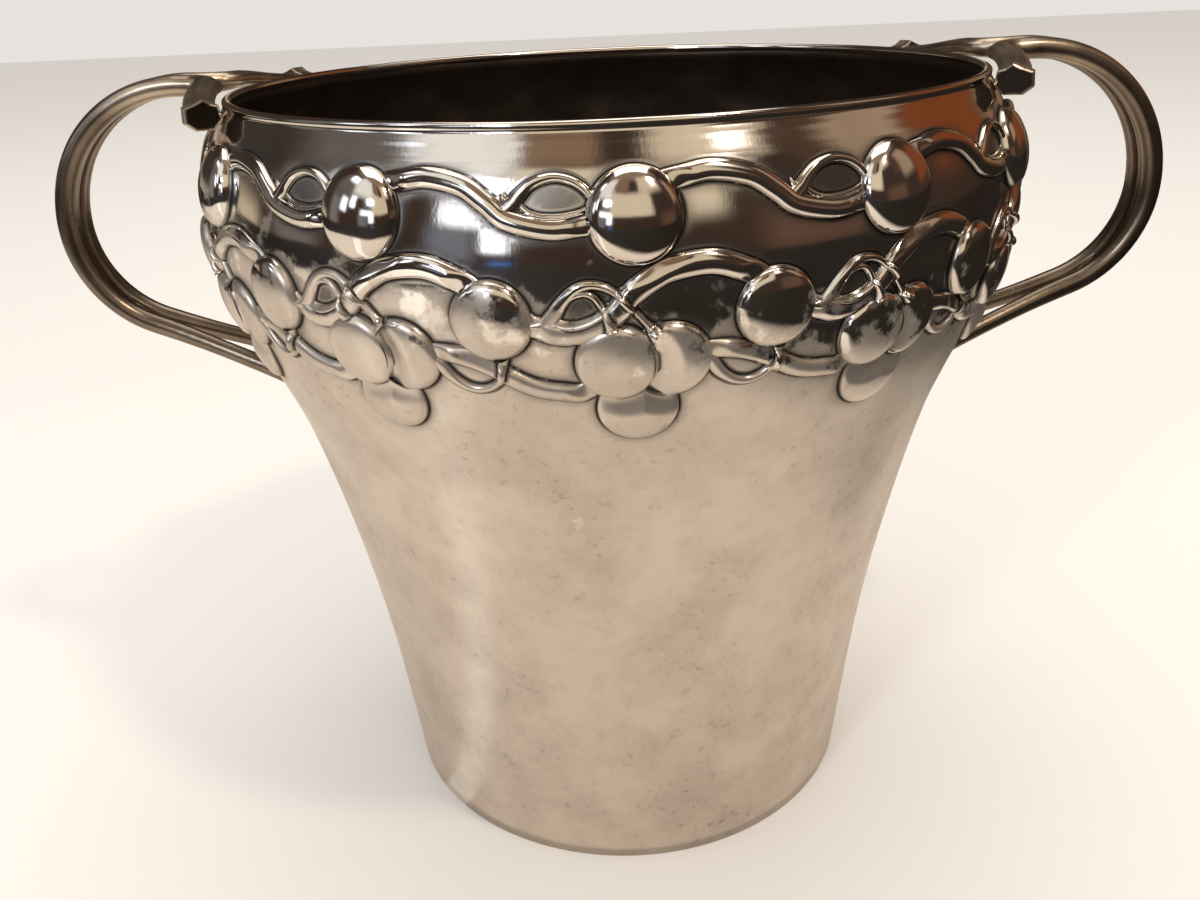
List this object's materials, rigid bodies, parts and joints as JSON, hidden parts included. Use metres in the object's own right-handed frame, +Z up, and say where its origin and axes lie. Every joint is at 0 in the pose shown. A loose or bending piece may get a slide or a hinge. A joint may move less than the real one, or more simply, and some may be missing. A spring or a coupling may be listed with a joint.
{
  "type": "two-handled cup",
  "caption": "Silver-plated two-handled cup or wine cooler with a band of vines and domed bosses under the lip.",
  "frame": {"origin": "middle of the base, on the surface that the cup stands on", "axes": "+Z up along the bucket's axis, +X through the right handle, -Y to the front"},
  "size_m": [0.2934, 0.208, 0.204],
  "materials": {
    "pressed_silver_plate": "silver plate over pressed sheet, mirror bright at the top and softly tarnished below",
    "polished_silver_plate": "polished silver plate with dark oxide in the corners",
    "dull_silver_plate": "dull, oxidised plate",
    "dark_cast_metal": "cast metal under a dark brown patina, rubbed bright on the ridges"
  },
  "bodies": {
    "root": {"body_wall": "pressed_silver_plate", "lip_bead": "polished_silver_plate", "base_disc": "dull_silver_plate", "left_handle": "dark_cast_metal", "right_handle": "dark_cast_metal", "left_front_lug": "dark_cast_metal", "left_back_lug": "dark_cast_metal", "right_front_lug": "dark_cast_metal", "right_back_lug": "dark_cast_metal", "upper_bosses": "polished_silver_plate", "upper_vine": "polished_silver_plate", "upper_tendrils": "polished_silver_plate", "middle_bosses": "polished_silver_plate", "middle_vine": "polished_silver_plate", "middle_tendrils": "polished_silver_plate", "trio_front_bosses": "polished_silver_plate", "trio_side_bosses": "polished_silver_plate", "trio_lower_bosses": "polished_silver_plate", "lower_vine": "polished_silver_plate", "lower_tendrils": "polished_silver_plate"}
  },
  "joints": []
}
